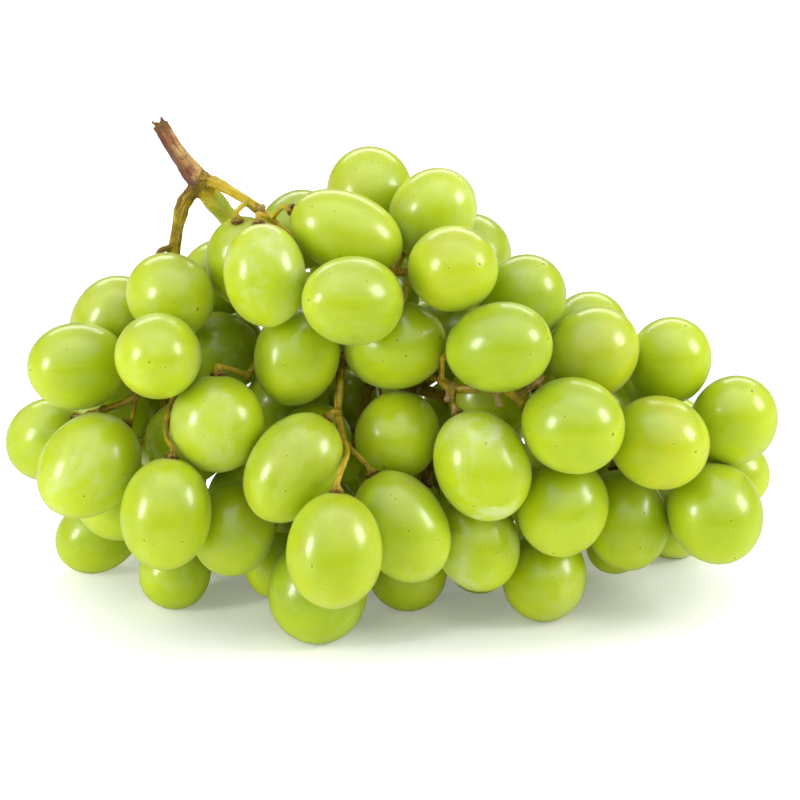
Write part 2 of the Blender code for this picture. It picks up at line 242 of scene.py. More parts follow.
def select_faces(piece: Object, wanted: Callable[[Vector], bool]) -> None:
    """Selects faces of the piece in edit mode by their place.

    Args:
        piece: The mesh object that is in edit mode.
        wanted: Says from a face's centre if it is selected.
    """
    shape = bmesh.from_edit_mesh(piece.data)
    for item in (*shape.verts, *shape.edges, *shape.faces):
        item.select_set(False)
    for face in shape.faces:
        if wanted(face.calc_center_median()):
            face.select_set(True)
    shape.select_flush_mode()
    bmesh.update_edit_mesh(piece.data)


def add_modifier(piece: Object, name: str, kind: str, **settings: object) -> None:
    """Adds a modifier.

    Args:
        piece: The object that takes it.
        name: The modifier's name.
        kind: Its type.
        settings: Its properties.
    """
    modifier = piece.modifiers.new(name, kind)
    for setting, value in settings.items():
        setattr(modifier, setting, value)


def apply_modifiers(piece: Object) -> None:
    """Applies each modifier of the piece in order."""
    make_active(piece)
    for modifier in list(piece.modifiers):
        bpy.ops.object.modifier_apply(modifier=modifier.name)


def vertex_array(mesh: Mesh) -> np.ndarray:
    """The mesh's vertices as an N by 3 array."""
    flat = np.empty(len(mesh.vertices) * 3, np.float32)
    mesh.vertices.foreach_get("co", flat)
    return flat.reshape(-1, 3).astype(np.float64)


def place_vertices(mesh: Mesh, points: np.ndarray) -> None:
    """Moves the mesh's vertices to the rows of an N by 3 array."""
    mesh.vertices.foreach_set("co", points.astype(np.float32).ravel())


def fill_attribute(mesh: Mesh, name: str, values: np.ndarray) -> None:
    """Stores one vector per vertex as a named attribute.

    Args:
        mesh: The mesh that takes the attribute.
        name: The attribute's name.
        values: An N by 3 array.
    """
    layer = mesh.attributes.get(name) or mesh.attributes.new(name, "FLOAT_VECTOR", "POINT")
    layer.data.foreach_set("vector", values.astype(np.float32).ravel())


def point_tree(points: Sequence[Vector] | np.ndarray) -> KDTree:
    """A tree that finds the nearest of the points."""
    tree = KDTree(len(points))
    for index, point in enumerate(points):
        tree.insert(point, index)
    tree.balance()
    return tree


def framed(points: Sequence[Place]) -> list[Vector]:
    """Points of a shoot, in millimetres, moved to their place in the frame."""
    return [Vector(point) * MM + BUNCH_SHIFT for point in points]


def distances(path: Sequence[Vector]) -> list[float]:
    """How far each point of a path lies along it."""
    steps = ((end - start).length for start, end in zip(path, path[1:]))
    return list(accumulate(steps, initial=0.0))


def hump(offset: float, width: float) -> float:
    """A soft hump, 1 high at no offset and a third as high a width away."""
    return math.exp(-(offset / width) ** 2)


def smooth_path(points: Sequence[Vector], per_span: int = 6) -> list[Vector]:
    """A Catmull-Rom curve through the given points.

    Args:
        points: The places the curve passes.
        per_span: How many steps each span takes.

    Returns:
        The curve's points, the given ones among them.
    """
    ends = [points[0] * 2 - points[1], *points, points[-1] * 2 - points[-2]]
    curve = []
    for before, start, end, after in zip(ends, ends[1:], ends[2:], ends[3:]):
        for step in range(per_span):
            t = step / per_span
            curve.append(0.5 * (2 * start + (end - before) * t
                                + (2 * before - 5 * start + 4 * end - after) * t ** 2
                                + (3 * start - before - 3 * end + after) * t ** 3))
    return curve + [points[-1].copy()]


def nearest_on_path(path: Sequence[Vector], point: Vector) -> Vector:
    """The point of a polyline nearest to a given one."""
    spots = []
    for start, end in zip(path, path[1:]):
        run = end - start
        share = min(1.0, max(0.0, (point - start).dot(run) / run.length_squared))
        spots.append(start + run * share)
    return min(spots, key=lambda spot: (spot - point).length)


class Field:
    """A value in a shader, which grows nodes as it is reckoned with."""

    def __init__(self, shader: "Shader", socket: NodeSocket) -> None:
        """Keeps the socket that gives the value and the shader that it is part of."""
        self.shader = shader
        self.socket = socket

    def __add__(self, other: "Value") -> "Field":
        """This value and another one together."""
        return self.shader.math("ADD", self, other)

    def __sub__(self, other: "Value") -> "Field":
        """This value less another one."""
        return self.shader.math("SUBTRACT", self, other)

    def __rsub__(self, other: float) -> "Field":
        """A plain number less this value."""
        return self.shader.math("SUBTRACT", other, self)

    def __mul__(self, other: "Value") -> "Field":
        """This value times another one."""
        return self.shader.math("MULTIPLY", self, other)

    def span(self, low: "Value", high: "Value", to_low: float = 0.0, to_high: float = 1.0) -> "Field":
        """The value eased from one range to another and held at its ends.

        Args:
            low: The value that becomes to_low.
            high: The value that becomes to_high.
            to_low: Result at the low end.
            to_high: Result at the high end.

        Returns:
            The eased value.
        """
        node = self.shader.add("MapRange", {"Value": self, "From Min": low, "From Max": high,
                                            "To Min": to_low, "To Max": to_high},
                               interpolation_type="SMOOTHSTEP")
        return self.shader.read(node, "Result")

    def noise(self, scale: "Value", detail: float = 2.0, roughness: float = 0.5,
              distortion: float = 0.0) -> "Field":
        """A soft random field between 0 and 1, read at this place.

        Args:
            scale: How many lumps fit in one unit.
            detail: Octaves of finer lumps.
            roughness: Weight of the finer lumps.
            distortion: How much the lumps are drawn out of shape.

        Returns:
            The field's value.
        """
        node = self.shader.add("TexNoise", {"Vector": self, "Scale": scale, "Detail": detail,
                                            "Roughness": roughness, "Distortion": distortion})
        return self.shader.read(node, "Fac")

    def parts(self) -> list["Field"]:
        """The three numbers of a vector or a colour."""
        node = self.shader.add("SeparateXYZ", {"Vector": self})
        return [self.shader.read(node, axis) for axis in range(3)]


Value = Union[float, Sequence[float], Field]
Inputs = dict[Union[str, int], Value]
Layer = tuple[Value, Value]     # share of a colour, and the colour


class Shader:
    """Adds and links nodes in one shader node tree."""

    def __init__(self, tree: NodeTree) -> None:
        """Keeps the tree that the nodes go into."""
        self.tree = tree

    def add(self, kind: str, inputs: Inputs | None = None, **settings: object) -> Node:
        """Adds a node.

        Args:
            kind: The node's type name without its ShaderNode prefix.
            inputs: Value or source of each input, by name or number.
            settings: Properties of the node.

        Returns:
            The new node.
        """
        node = self.tree.nodes.new("ShaderNode" + kind)
        for name, setting in settings.items():
            setattr(node, name, setting)
        self.fill(node, inputs or {})
        return node

    def fill(self, node: Node, inputs: Inputs) -> None:
        """Links a source to each input or sets the input's own value.

        Args:
            node: The node that has the inputs.
            inputs: Value or source of each, by name or number.
        """
        for name, value in inputs.items():
            socket = node.inputs[name]
            if isinstance(value, Field):
                self.tree.links.new(value.socket, socket)
            else:
                socket.default_value = (*value, 1.0) if socket.type == "RGBA" else value

    def read(self, node: Node, output: str | int = 0) -> Field:
        """One output of a node."""
        return Field(self, node.outputs[output])

    def math(self, operation: str, *values: Value, clamp: bool = False) -> Field:
        """The result of one arithmetic step on the values."""
        node = self.add("Math", dict(enumerate(values)), operation=operation, use_clamp=clamp)
        return self.read(node)

    def vector(self, operation: str, *values: Value) -> Field:
        """The result of one vector step.

        Args:
            operation: The step's name.
            values: A vector and what goes with it: a number for SCALE, otherwise a vector.

        Returns:
            A number for LENGTH, otherwise a vector.
        """
        slots = (0, "Scale") if operation == "SCALE" else (0, 1)
        node = self.add("VectorMath", dict(zip(slots, values)), operation=operation)
        return self.read(node, "Value" if operation == "LENGTH" else "Vector")

    def mix(self, share: Value, first: Value, second: Value) -> Field:
        """Two colours mixed by the share of the second."""
        node = self.add("Mix", {"Factor": share, 6: first, 7: second}, data_type="RGBA")
        return self.read(node, 2)

    def layered(self, base: Value, layers: Sequence[Layer]) -> Value:
        """Mixes colours over a base, the last one on top.

        Args:
            base: The lowest colour.
            layers: Share and colour of each layer.

        Returns:
            The colour that they give together.
        """
        for share, paint in layers:
            base = self.mix(share, base, paint)
        return base

    def attribute(self, name: str) -> Field:
        """The vector that a piece's attribute holds."""
        return self.read(self.add("Attribute", attribute_name=name), "Vector")

    def place(self, kind: str) -> Field:
        """A texture coordinate of the given kind."""
        return self.read(self.add("TexCoord"), kind)

    def bump(self, height: Value, strength: float, distance: float) -> Field:
        """The surface's normal, shaken by a height over a distance in metres."""
        node = self.add("Bump", {"Strength": strength, "Distance": distance, "Height": height})
        return self.read(node, "Normal")

    def use(self, group: NodeTree, inputs: Inputs) -> dict[str, Field]:
        """Places a node group with its own values and gives its outputs by name."""
        node = self.add("Group", inputs, node_tree=group)
        return {output.name: Field(self, output) for output in node.outputs}


def new_material(name: str) -> tuple[Material, Shader, Node]:
    """Starts a material.

    Args:
        name: The material's name.

    Returns:
        The material, a shader to fill it with, and its surface node.
    """
    material = bpy.data.materials.new(name)
    material.use_nodes = True
    return material, Shader(material.node_tree), material.node_tree.nodes["Principled BSDF"]


class Effects:
    """Shader node groups for patterns that the finishes share, each built once."""

    def __init__(self) -> None:
        """Builds every group."""
        self.mottle = self._group("cloudy_mottle", self._mottle,
                                  {"Scale": 2.0, "Cover": 0.5, "Softness": 0.2}, ["Mask"])
        self.specks = self._group("scattered_specks", self._specks,
                                  {"Scale": 6.0, "Size": 0.1, "Share": 0.3}, ["Dot", "Ring"])
        self.streaks = self._group("long_streaks", self._streaks,
                                   {"Count": 6.0, "Length": 1.0}, ["Mask"])

    def _group(self, name: str, pattern: Callable[..., Sequence[Field]], numbers: dict[str, float],
               masks: Sequence[str]) -> NodeTree:
        """Builds one group.

        Args:
            name: The group's name.
            pattern: Works the masks out from a shader, a place and the numbers.
            numbers: Name and usual value of each number that the group takes.
            masks: Names of the masks that it gives.

        Returns:
            The group.
        """
        group = bpy.data.node_groups.new(name, "ShaderNodeTree")
        group.interface.new_socket("Place", in_out="INPUT", socket_type="NodeSocketVector")
        for number, usual in numbers.items():
            socket = group.interface.new_socket(number, in_out="INPUT", socket_type="NodeSocketFloat")
            socket.default_value = usual
        for mask in masks:
            group.interface.new_socket(mask, in_out="OUTPUT", socket_type="NodeSocketFloat")
        shader = Shader(group)
        given, result = group.nodes.new("NodeGroupInput"), group.nodes.new("NodeGroupOutput")
        fields = [shader.read(given, socket) for socket in ("Place", *numbers)]
        shader.fill(result, dict(zip(masks, pattern(shader, *fields))))
        return group

    @staticmethod
    def _mottle(_: Shader, place: Field, scale: Field, cover: Field, softness: Field) -> list[Field]:
        """Soft cloudy patches of two sizes, such as bloom on skin or weathering on bark."""
        both = place.noise(scale, 3.0, 0.55, 0.4) * 0.78 + place.noise(scale * 5.3, 4.0) * 0.22
        edge = 1.0 - cover
        return [both.span(edge - softness, edge + softness)]

    @staticmethod
    def _specks(shader: Shader, place: Field, scale: Field, size: Field, share: Field) -> list[Field]:
        """Scattered small dots with a soft ring round each, such as lenticels."""
        cells = shader.add("TexVoronoi", {"Vector": place, "Scale": scale})
        lot, breadth, _ = shader.read(cells, "Color").parts()
        kept = shader.math("LESS_THAN", lot, share)
        near = shader.math("DIVIDE", shader.read(cells, "Distance"), size * (breadth + 0.4))
        dot = near.span(1.0, 0.45)
        ring = near.span(3.2, 1.2) * (1.0 - dot)
        return [dot * kept, ring * kept]

    @staticmethod
    def _streaks(shader: Shader, place: Field, count: Field, length: Field) -> list[Field]:
        """Fine streaks that run along Z, such as veins under skin or ridges in bark."""
        x, y, z = place.parts()
        flat = shader.read(shader.add("CombineXYZ", {"X": x, "Y": y}))
        along = shader.read(shader.add("CombineXYZ", {"Z": shader.math("DIVIDE", z, length)}))
        around = shader.vector("SCALE", shader.vector("NORMALIZE", flat), count)
        return [shader.vector("ADD", around, along).noise(1.0, 3.0, 0.6, 0.25)]


@dataclass(frozen=True)
class GrapeSkinFinish:
    """Waxy, translucent skin of a white grape."""

    deep: Colour = (0.365, 0.490, 0.001)
    bright: Colour = (0.520, 0.640, 0.001)
    golden: Colour = (0.600, 0.520, 0.003)
    vein: Colour = (0.610, 0.720, 0.030)
    bloom: Colour = (0.670, 0.760, 0.440)
    speck: Colour = (0.110, 0.085, 0.015)
    scar: Colour = (0.230, 0.140, 0.040)
    vein_share: float = 0.22
    bloom_share: float = 0.33
    ring_share: float = 0.16
    speck_share: float = 0.66
    roughness: float = 0.44
    depth: float = 7.8 * MM
    bump_height: float = 0.45 * MM

    def build(self, effects: Effects) -> Material:
        """Makes the material.

        Args:
            effects: The shared node groups.

        Returns:
            The finished skin.
        """
        material, shader, surface = new_material("translucent_grape_skin")
        place, trait = shader.attribute(SKIN_PLACE), shader.attribute(BERRY_TRAIT)
        ripe, bloomy, blush = trait.parts()
        own = shader.vector("ADD", place, shader.vector("SCALE", trait, TRAIT_SPREAD))
        height = place.parts()[2]
        veins = shader.use(effects.streaks, {"Place": place, "Count": 5.0, "Length": 1.6})["Mask"]
        cloud = shader.use(effects.mottle, {"Place": own, "Scale": 1.1, "Cover": 0.44, "Softness": 0.11})
        specks = shader.use(effects.specks, {"Place": own, "Scale": 5.2, "Size": 0.120, "Share": 0.46})
        bloom = cloud["Mask"] * (bloomy * self.bloom_share)
        colour = shader.layered(self.deep, [
            *self._flesh(own, ripe, blush, height),
            (veins.span(0.50, 0.80, 0.0, self.vein_share), self.vein),
            (bloom, self.bloom),
            (specks["Ring"] * self.ring_share, self.vein),
            (specks["Dot"] * self.speck_share, self.speck),
            *self._ends(own, height)])
        gloss = bloom * 0.22 + self.roughness + own.noise(7.0, 3.0).span(0.35, 0.75, -0.03, 0.07)
        ripple = own.noise(3.0) + own.noise(42.0) * 0.05 - specks["Dot"] * 0.12
        shader.fill(surface, {
            "Base Color": colour, "Roughness": gloss, "Normal": shader.bump(ripple, 0.22, self.bump_height),
            "Subsurface Weight": 1.0, "Subsurface Radius": (1.0, 0.95, 0.22),
            "Subsurface Scale": self.depth, "Subsurface Anisotropy": 0.6,
            "IOR": 1.42, "Specular IOR Level": 0.50,
            "Coat Weight": 1.0, "Coat Roughness": 0.24, "Coat IOR": 1.58,
            "Sheen Weight": 0.10, "Sheen Roughness": 0.40, "Sheen Tint": (0.94, 1.0, 0.84)})
        return material

    def _flesh(self, own: Field, ripe: Field, blush: Field, height: Field) -> list[Layer]:
        """Colours of the flesh under the skin, which differ from berry to berry and within one.

        Args:
            own: Place on the skin, shifted for each berry.
            ripe: How ripe the berry is.
            blush: How golden it is.
            height: From -1 at the blossom end to 1 at the stem end.

        Returns:
            Layers over the deep green.
        """
        wander = own.noise(0.9).span(0.32, 0.68, -0.22, 0.22)
        return [(own.shader.math("ADD", ripe, wander, clamp=True), self.bright),
                (blush * own.noise(1.3).span(0.38, 0.66), self.golden),
                (height.span(-0.35, -0.98, 0.0, 0.22), self.vein)]

    def _ends(self, own: Field, height: Field) -> list[Layer]:
        """The blossom scar at one end and the stained rim of the pit at the other.

        Args:
            own: Place on the skin, shifted for each berry.
            height: From -1 at the blossom end to 1 at the stem end.

        Returns:
            Layers that show only near the two ends.
        """
        level = height + own.noise(18.0).span(0.3, 0.7, -0.0004, 0.0004)
        halo = level.span(-0.980, -0.995) * level.span(-0.9998, -0.9990)
        return [(halo * 0.25, self.vein),
                (level.span(-0.9992, -0.9999, 0.0, 0.8), self.scar),
                (level.span(0.955, 0.985, 0.0, 0.35), self.golden),
                (level.span(0.982, 0.993, 0.0, 0.85), self.scar)]


@dataclass(frozen=True)
class BarkFinish:
    """Bark of a grape stem, green where it is fresh and brown where it has dried."""

    green: Colour = (0.400, 0.510, 0.048)
    olive: Colour = (0.660, 0.480, 0.022)
    tan: Colour = (0.520, 0.385, 0.014)
    brown: Colour = (0.200, 0.145, 0.006)
    fawn: Colour = (0.660, 0.430, 0.170)
    russet: Colour = (0.500, 0.225, 0.090)
    stain: Colour = (0.095, 0.050, 0.005)
    purple: Colour = (0.090, 0.030, 0.026)
    crown: Colour = (0.230, 0.140, 0.022)
    wart: Colour = (0.022, 0.010, 0.004)
    wood: Colour = (0.820, 0.600, 0.300)
    depth: float = 1.0 * MM
    bump_height: float = 0.35 * MM

    def build(self, effects: Effects) -> Material:
        """Makes the material.

        Args:
            effects: The shared node groups.

        Returns:
            The finished bark.
        """
        material, shader, surface = new_material("dry_stem_bark")
        grain = shader.attribute(BARK_GRAIN)
        fresh, crown, raw = shader.attribute(BARK_TONE).parts()
        spot = shader.vector("SCALE", shader.place("Object"), 1.0 / MM)
        facing = shader.place("Normal").parts()[0]
        ridges = shader.use(effects.streaks, {"Place": grain, "Count": 2.6, "Length": 7.0})["Mask"]
        cloud = shader.use(effects.mottle, {"Place": spot, "Scale": 0.42, "Cover": 0.40, "Softness": 0.10})
        specks = shader.use(effects.specks, {"Place": spot, "Scale": 1.1, "Size": 0.26, "Share": 0.55})
        warts = shader.use(effects.specks, {"Place": spot, "Scale": 1.15, "Size": 0.46, "Share": 0.80})
        dryness = fresh.span(1.0, 0.35, 0.12, 1.0)
        stain = shader.mix(fresh.span(0.06, 0.24), self.purple, self.stain)
        # Purple on dry bark on the sides that face -X, and on all bark near the cut end.
        purple_on_left_and_cut = shader.math("MAXIMUM", facing.span(0.35, -0.55) * fresh.span(0.26, 0.14, 0.0, 0.85),
                             fresh.span(-0.03, -0.20, 0.0, 0.85))
        collar = crown * spot.noise(1.6).span(0.30, 0.62, 0.45, 1.0)
        rim = crown.span(0.86, 0.98) * spot.noise(2.2).span(0.32, 0.56)
        chips = spot.noise(1.3, 3.0, 0.6).span(0.58, 0.66) * collar
        wander = spot.noise(0.25, 3.0).span(0.3, 0.7, -0.10, 0.10)
        colour = shader.layered(self._ageing(shader, shader.math("ADD", fresh, wander, clamp=True)), [
            (ridges.span(0.50, 0.68, 0.0, 0.72) * dryness, stain),
            (ridges.span(0.47, 0.30, 0.0, 0.60), self.wood),
            (cloud["Mask"] * (dryness * 0.60), stain),
            (purple_on_left_and_cut, self.purple),
            (specks["Dot"] * (dryness * 0.7), self.stain),
            (collar, self.crown),
            (rim * 0.75, self.wart),
            (warts["Dot"] * collar, self.wart),
            (chips * 0.25, self.wood),
            (raw * 0.85, self.wood)])
        worn = ridges.span(0.3, 0.7, -0.08, 0.08) + fresh.span(0.3, 1.0, 0.64, 0.32)
        rough = ridges + spot.noise(2.6, 4.0, 0.6) * 0.6
        shader.fill(surface, {
            "Base Color": colour, "Roughness": worn, "Normal": shader.bump(rough, 0.6, self.bump_height),
            "Specular IOR Level": 0.15, "Subsurface Weight": 0.12,
            "Subsurface Radius": (1.0, 0.6, 0.2), "Subsurface Scale": self.depth})
        return material

    def _ageing(self, shader: Shader, level: Field) -> Field:
        """The bark's own colour, from dry to fresh.

        Args:
            shader: The shader that it is part of.
            level: How green the bark is, on the scale of Tone.

        Returns:
            The colour at that level.
        """
        ramp = shader.add("ValToRGB", {"Fac": level})
        stops = ramp.color_ramp.elements
        for tone in list(Tone)[1:-1]:
            stops.new(tone.value)
        paints = (self.russet, self.fawn, self.brown, self.tan, self.olive, self.green)
        for stop, paint in zip(stops, paints):
            stop.color = (*paint, 1.0)
        return shader.read(ramp, "Color")


@dataclass
class GrapeForm:
    """The shape of one grape, a unit long from its middle to either end."""

    segments: int = 36
    rings: int = 20
    cap: float = 0.985
    pit_rim: float = 0.030
    pit_depth: float = 0.055
    pit_floor: float = 0.060
    scar_rim: float = 0.118
    scar_rise: float = 0.006
    scar_eye: float = 0.016

    def build(self) -> Mesh:
        """Models the grape with its pit and blossom scar.

        Returns:
            The mesh, with the direction from its middle stored at each vertex.
        """
        deselect_all()
        bpy.ops.mesh.primitive_uv_sphere_add(segments=self.segments, ring_count=self.rings, radius=1.0)
        form = bpy.context.active_object
        bpy.ops.object.mode_set(mode="EDIT")
        bpy.ops.mesh.select_mode(type="FACE")
        steps = {1.0: ((self.pit_rim, -self.pit_depth), (self.pit_floor, -self.pit_depth / 2.0)),
                 -1.0: ((self.scar_rim, -self.scar_rise), (self.scar_eye, self.scar_rise * 2.0))}
        for end, insets in steps.items():
            select_faces(form, lambda centre: centre.z * end > self.cap)
            for inset, lift in insets:
                bpy.ops.mesh.inset(thickness=inset)
                bpy.ops.transform.translate(value=(0.0, 0.0, lift))
        bpy.ops.object.mode_set(mode="OBJECT")
        add_modifier(form, "rounding", "SUBSURF", levels=1, render_levels=1)
        apply_modifiers(form)
        mesh = form.data
        points = vertex_array(mesh)
        points /= np.abs(points[:, 0]).max()
        points[:, 2] /= max(points[:, 2].max(), 1.0)
        place_vertices(mesh, points)
        fill_attribute(mesh, SKIN_PLACE, points / np.linalg.norm(points, axis=1, keepdims=True))
        mesh.shade_smooth()
        bpy.data.objects.remove(form)
        return mesh


@dataclass
class Grapes:
    """Every grape of the bunch, copied from one form and each a little different."""

    form: GrapeForm
    finish: Material
    plump: float = 0.25 * MM
    floor_gap: float = 0.03 * MM
    most_taper: float = 0.045
    most_oval: float = 0.020
    fullness: float = 0.018
    lumps: int = 3
    lump: float = 0.006
    lump_pace: float = 1.6
    ripeness: Span = (0.25, 0.95)
    bloom: Span = (0.15, 0.85)
    blush: Span = (0.0, 0.55)
    traits: dict[str, Place] = field(default_factory=dict)

    def build(self, berries: Sequence[Berry]) -> list[Object]:
        """Makes each berry's piece.

        Args:
            berries: The berries to make.

        Returns:
            One piece per berry, riding on the bunch.
        """
        template = self.form.build()
        unit = vertex_array(template)
        pieces = [self._grape(berry, template, unit, np.random.default_rng([SEED, index]))
                  for index, berry in enumerate(berries)]
        bpy.data.meshes.remove(template)
        return pieces

    def _grape(self, berry: Berry, template: Mesh, unit: np.ndarray, chance: np.random.Generator) -> Object:
        """Copies the form to one berry's place and size and gives it its own character.

        Args:
            berry: The berry to make.
            template: The form's mesh.
            unit: The form's vertices.
            chance: The berry's own random draws.

        Returns:
            The berry's piece.
        """
        mesh = template.copy()
        mesh.name = berry.name
        place_vertices(mesh, self._shaped(berry, unit, chance))
        drawn = (chance.uniform(*self.ripeness), chance.uniform(*self.bloom),
                 chance.uniform(*self.blush) ** 2)
        trait = self.traits.get(berry.node or "", drawn)
        fill_attribute(mesh, BERRY_TRAIT, np.tile(trait, (len(unit), 1)))
        mesh.materials.clear()
        mesh.materials.append(self.finish)
        mesh.update()
        piece = link_object(berry.name, mesh)
        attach(piece, ROOT_BODY)
        if berry.node:
            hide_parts(berry.node)
        return piece

    def _shaped(self, berry: Berry, unit: np.ndarray, chance: np.random.Generator) -> np.ndarray:
        """The form's vertices moved, tapered and flattened to one berry.

        Args:
            berry: The berry to make.
            unit: The form's vertices.
            chance: The berry's own random draws.

        Returns:
            The berry's vertices, in metres.
        """
        x, y, z = unit.T
        taper = chance.uniform(-self.most_taper, self.most_taper)
        oval, turn = chance.uniform(0.0, self.most_oval), chance.uniform(0.0, math.pi)
        around = np.arctan2(y, x)
        swell = 1.0 + taper * z - oval * (1.0 - np.cos(2.0 * around - turn)) / 2.0
        full = self.fullness * chance.uniform(0.2, 1.0)
        swell *= 1.0 + full * 4.0 * (z * z) * (1.0 - np.minimum(z * z, 1.0))
        for _ in range(self.lumps):
            wave = chance.normal(size=3) * self.lump_pace
            swell += self.lump * (np.cos(unit @ wave + chance.uniform(0.0, 2.0 * math.pi)) - 1.0) / 2.0
        width, length = berry.half_width + self.plump, berry.half_length + self.plump
        local = np.stack([x * swell * width, y * swell * width, z * length], axis=1)
        turned = np.array(berry.stem_end.to_track_quat("Z", "Y").to_matrix())
        placed = local @ turned.T + np.array(berry.centre)
        placed[:, 2] = np.maximum(placed[:, 2], self.floor_gap)
        return placed


@dataclass
class BunchReader:
    """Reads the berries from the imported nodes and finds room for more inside."""

    nodes: dict[str, Object]
    pressed: float = 0.01 * MM
    lattice: float = 2.5 * MM
    low_margins: Place = (8.0 * MM, 37.0 * MM, 8.0 * MM)
    high_margins: Place = (8.0 * MM, 8.0 * MM, 8.0 * MM)
    stem_gap: float = 0.3 * MM
    heart_gap: float = 0.3 * MM
    least_heart: float = 6.8 * MM
    least_front_heart: float = 7.3 * MM
    front: float = 2.0 * MM
    back: float = 28.0 * MM
    most_heart: float = 10.6 * MM
    least_closed: float = 0.72
    least_closed_back: float = 0.80
    sight: float = 60.0 * MM
    heart_slimness: float = 0.96
    pairing_reaches: tuple[float, ...] = (4.0 * MM, 2.5 * MM, 1.5 * MM, 1.0 * MM, 0.5 * MM, 0.5 * MM)
    stem_points: np.ndarray = field(init=False)
    stem_tree: KDTree = field(init=False)

    def __post_init__(self) -> None:
        """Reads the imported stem's corners."""
        self.stem_points = vertex_array(self.nodes["stem"].data)
        self.stem_tree = point_tree(self.stem_points)

    def berries(self) -> list[Berry]:
        """Every packed berry, with its stem end towards the stem."""
        return [self._read(name) for name in sorted(self.nodes) if name.startswith("berry_")]

    def _read(self, name: str) -> Berry:
        """Fits one berry to its node: paired opposite corners give the middle.

        Args:
            name: The node's name.

        Returns:
            The berry.
        """
        points = np.unique(np.round(vertex_array(self.nodes[name].data), 7), axis=0)
        points = points[points[:, 2] > self.pressed]
        centre = points.mean(axis=0)
        for reach in self.pairing_reaches:
            gaps = np.linalg.norm(points[:, None, :] + points[None, :, :] - 2.0 * centre, axis=2).min(axis=1)
            centre = points[gaps < reach].mean(axis=0)
        paired = points[gaps < self.pairing_reaches[-1]] - centre
        axis = np.linalg.eigh(paired.T @ paired)[1][:, -1]
        along = (points - centre) @ axis
        across = np.linalg.norm((points - centre) - np.outer(along, axis), axis=1)
        length, width = np.abs(along).max(), across.max()
        ends = [Vector(centre + axis * length * side) for side in (1.0, -1.0)]
        pole = min(ends, key=lambda end: self.stem_tree.find(end)[2])
        return Berry(name.replace("berry", "grape"), Vector(centre), (pole - Vector(centre)).normalized(),
                     float(width), float(length), name)

    def hearts(self, berries: Sequence[Berry]) -> list[Berry]:
        """Berries for the heart of the bunch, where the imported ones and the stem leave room.

        Args:
            berries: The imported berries.

        Returns:
            The further berries, clear of all others and enclosed by them.
        """
        low, high = (np.array(corner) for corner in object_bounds())
        axes = [np.arange(low[i] + self.low_margins[i], high[i] - self.high_margins[i], self.lattice)
                for i in range(3)]
        spots = np.stack(np.meshgrid(*axes, indexing="ij"), axis=-1).reshape(-1, 3)
        in_box = np.minimum(spots - low, high - spots).min(axis=1) - self.heart_gap
        off_stem = np.array([self.stem_tree.find(spot)[2] for spot in spots]) - self.stem_gap
        room = np.minimum(in_box, off_stem)
        for berry in berries:
            room = np.minimum(room, self._outside(spots, berry) - self.heart_gap)
        roomy = room > np.where(spots[:, 1] < self.front, self.least_front_heart, self.least_heart)
        spots, room = spots[roomy], room[roomy]
        wanted = np.where(spots[:, 1] > self.back, self.least_closed_back, self.least_closed)
        hidden = self._enclosure(spots, berries) >= wanted
        spots, room = spots[hidden], room[hidden]
        found: list[Berry] = []
        while True:
            open_room = np.where((spots[:, 1] < self.front) & (room < self.least_front_heart), 0.0, room)
            best = int(open_room.argmax())
            if open_room[best] <= self.least_heart:
                return found
            radius = min(float(room[best]), self.most_heart)
            place = Vector(spots[best])
            nearest = np.linalg.norm(self.stem_points - spots[best], axis=1).argmin()
            stem_end = (Vector(self.stem_points[nearest]) - place).normalized()
            found.append(Berry(f"heart_grape_{len(found) + 1:02d}", place, stem_end,
                               radius * self.heart_slimness, radius))
            room = np.minimum(room, self._outside(spots, found[-1]) - self.heart_gap)

    def _outside(self, spots: np.ndarray, berry: Berry) -> np.ndarray:
        """How far each spot lies outside a berry's skin, along the ray from its middle.

        Args:
            spots: Places, in metres.
            berry: The berry.

        Returns:
            Metres outside the skin, negative inside it.
        """
        offset = spots - np.array(berry.centre)
        far = np.maximum(np.linalg.norm(offset, axis=1), 1e-9)
        along = offset @ np.array(berry.stem_end)
        across = np.sqrt(np.maximum(far ** 2 - along ** 2, 0.0))
        return far - far / np.hypot(along / berry.half_length, across / berry.half_width)

    def _enclosure(self, spots: np.ndarray, berries: Sequence[Berry]) -> np.ndarray:
        """How closed in each spot is.

        Args:
            spots: Places, in metres.
            berries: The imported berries.

        Returns:
            Share of directions that meet a berry or the table. Near the back, those that lead
            out backwards count too.
        """
        steps = [np.array(step, float) - 1.0 for step in np.ndindex(3, 3, 3) if step != (1, 1, 1)]
        down = [step for step in steps if step[2] < 0.0]
        blocked = np.full(len(spots), float(len(down)))
        for step in (step for step in steps if step[2] >= 0.0):
            ray = step / np.linalg.norm(step)
            met = (spots[:, 1] > self.back) & (step[1] > 0.0)
            for berry in berries:
                offset = np.array(berry.centre) - spots
                ahead = offset @ ray
                miss = np.linalg.norm(offset - np.outer(ahead, ray), axis=1)
                met |= (ahead > 0.0) & (ahead < self.sight) & (miss < berry.half_width)
            blocked += met
        return blocked / len(steps)


@dataclass
class Run:
    """One run of stem: its path, and the radius, greenness, crown and rawness at each point."""

    path: list[Vector]
    radii: list[float]
    tones: list[Place]


